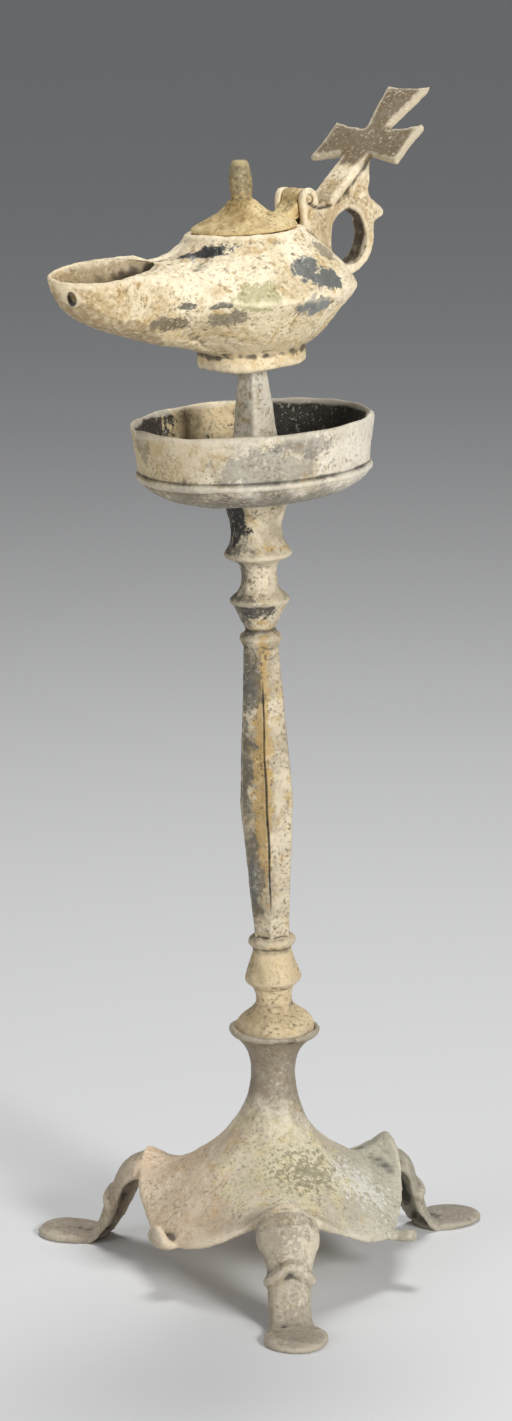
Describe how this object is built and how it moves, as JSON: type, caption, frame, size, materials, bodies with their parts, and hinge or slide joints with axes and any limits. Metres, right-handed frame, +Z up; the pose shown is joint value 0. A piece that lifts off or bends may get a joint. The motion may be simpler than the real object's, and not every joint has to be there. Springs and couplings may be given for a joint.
{
  "type": "oil lamp with lampstand",
  "caption": "Bronze oil lamp with a hinged lid, ring handle and cross, resting on the pricket of a baluster lampstand with a drip pan and splayed tripod foot.",
  "frame": {"origin": "on the floor, under the middle of the object's box", "axes": "+Z up along the stand, -Y towards the front leg, +X to the right of the front leg"},
  "size_m": [0.1938, 0.1864, 0.4947],
  "materials": {
    "base_bronze": "worn bronze under a buff, yellow and grey-green crust",
    "shaft_bronze": "brown-grey bronze with ochre streaks and dark patches",
    "pan_bronze": "pale grey-beige crust over bronze",
    "lamp_bronze": "pitted sand-coloured crust with slate-grey patches of bare metal",
    "lid_bronze": "ochre crust with a dark rim edge",
    "pin_bronze": "worn pale bronze"
  },
  "bodies": {
    "lamp_and_stand": {"tripod_base": "base_bronze", "baluster_shaft": "shaft_bronze", "drip_pan": "pan_bronze", "lamp_body": "lamp_bronze", "hinge_pin": "pin_bronze"},
    "lid": {"lamp_lid": "lid_bronze"}
  },
  "joints": [
    {"name": "lid_hinge", "type": "hinge", "parent": "lamp_and_stand", "child": "lid", "pos_m": [0.01351, 0.03792, 0.45229], "axis": [-0.633, 0.773, -0.042], "range_deg": [0, 120]}
  ]
}
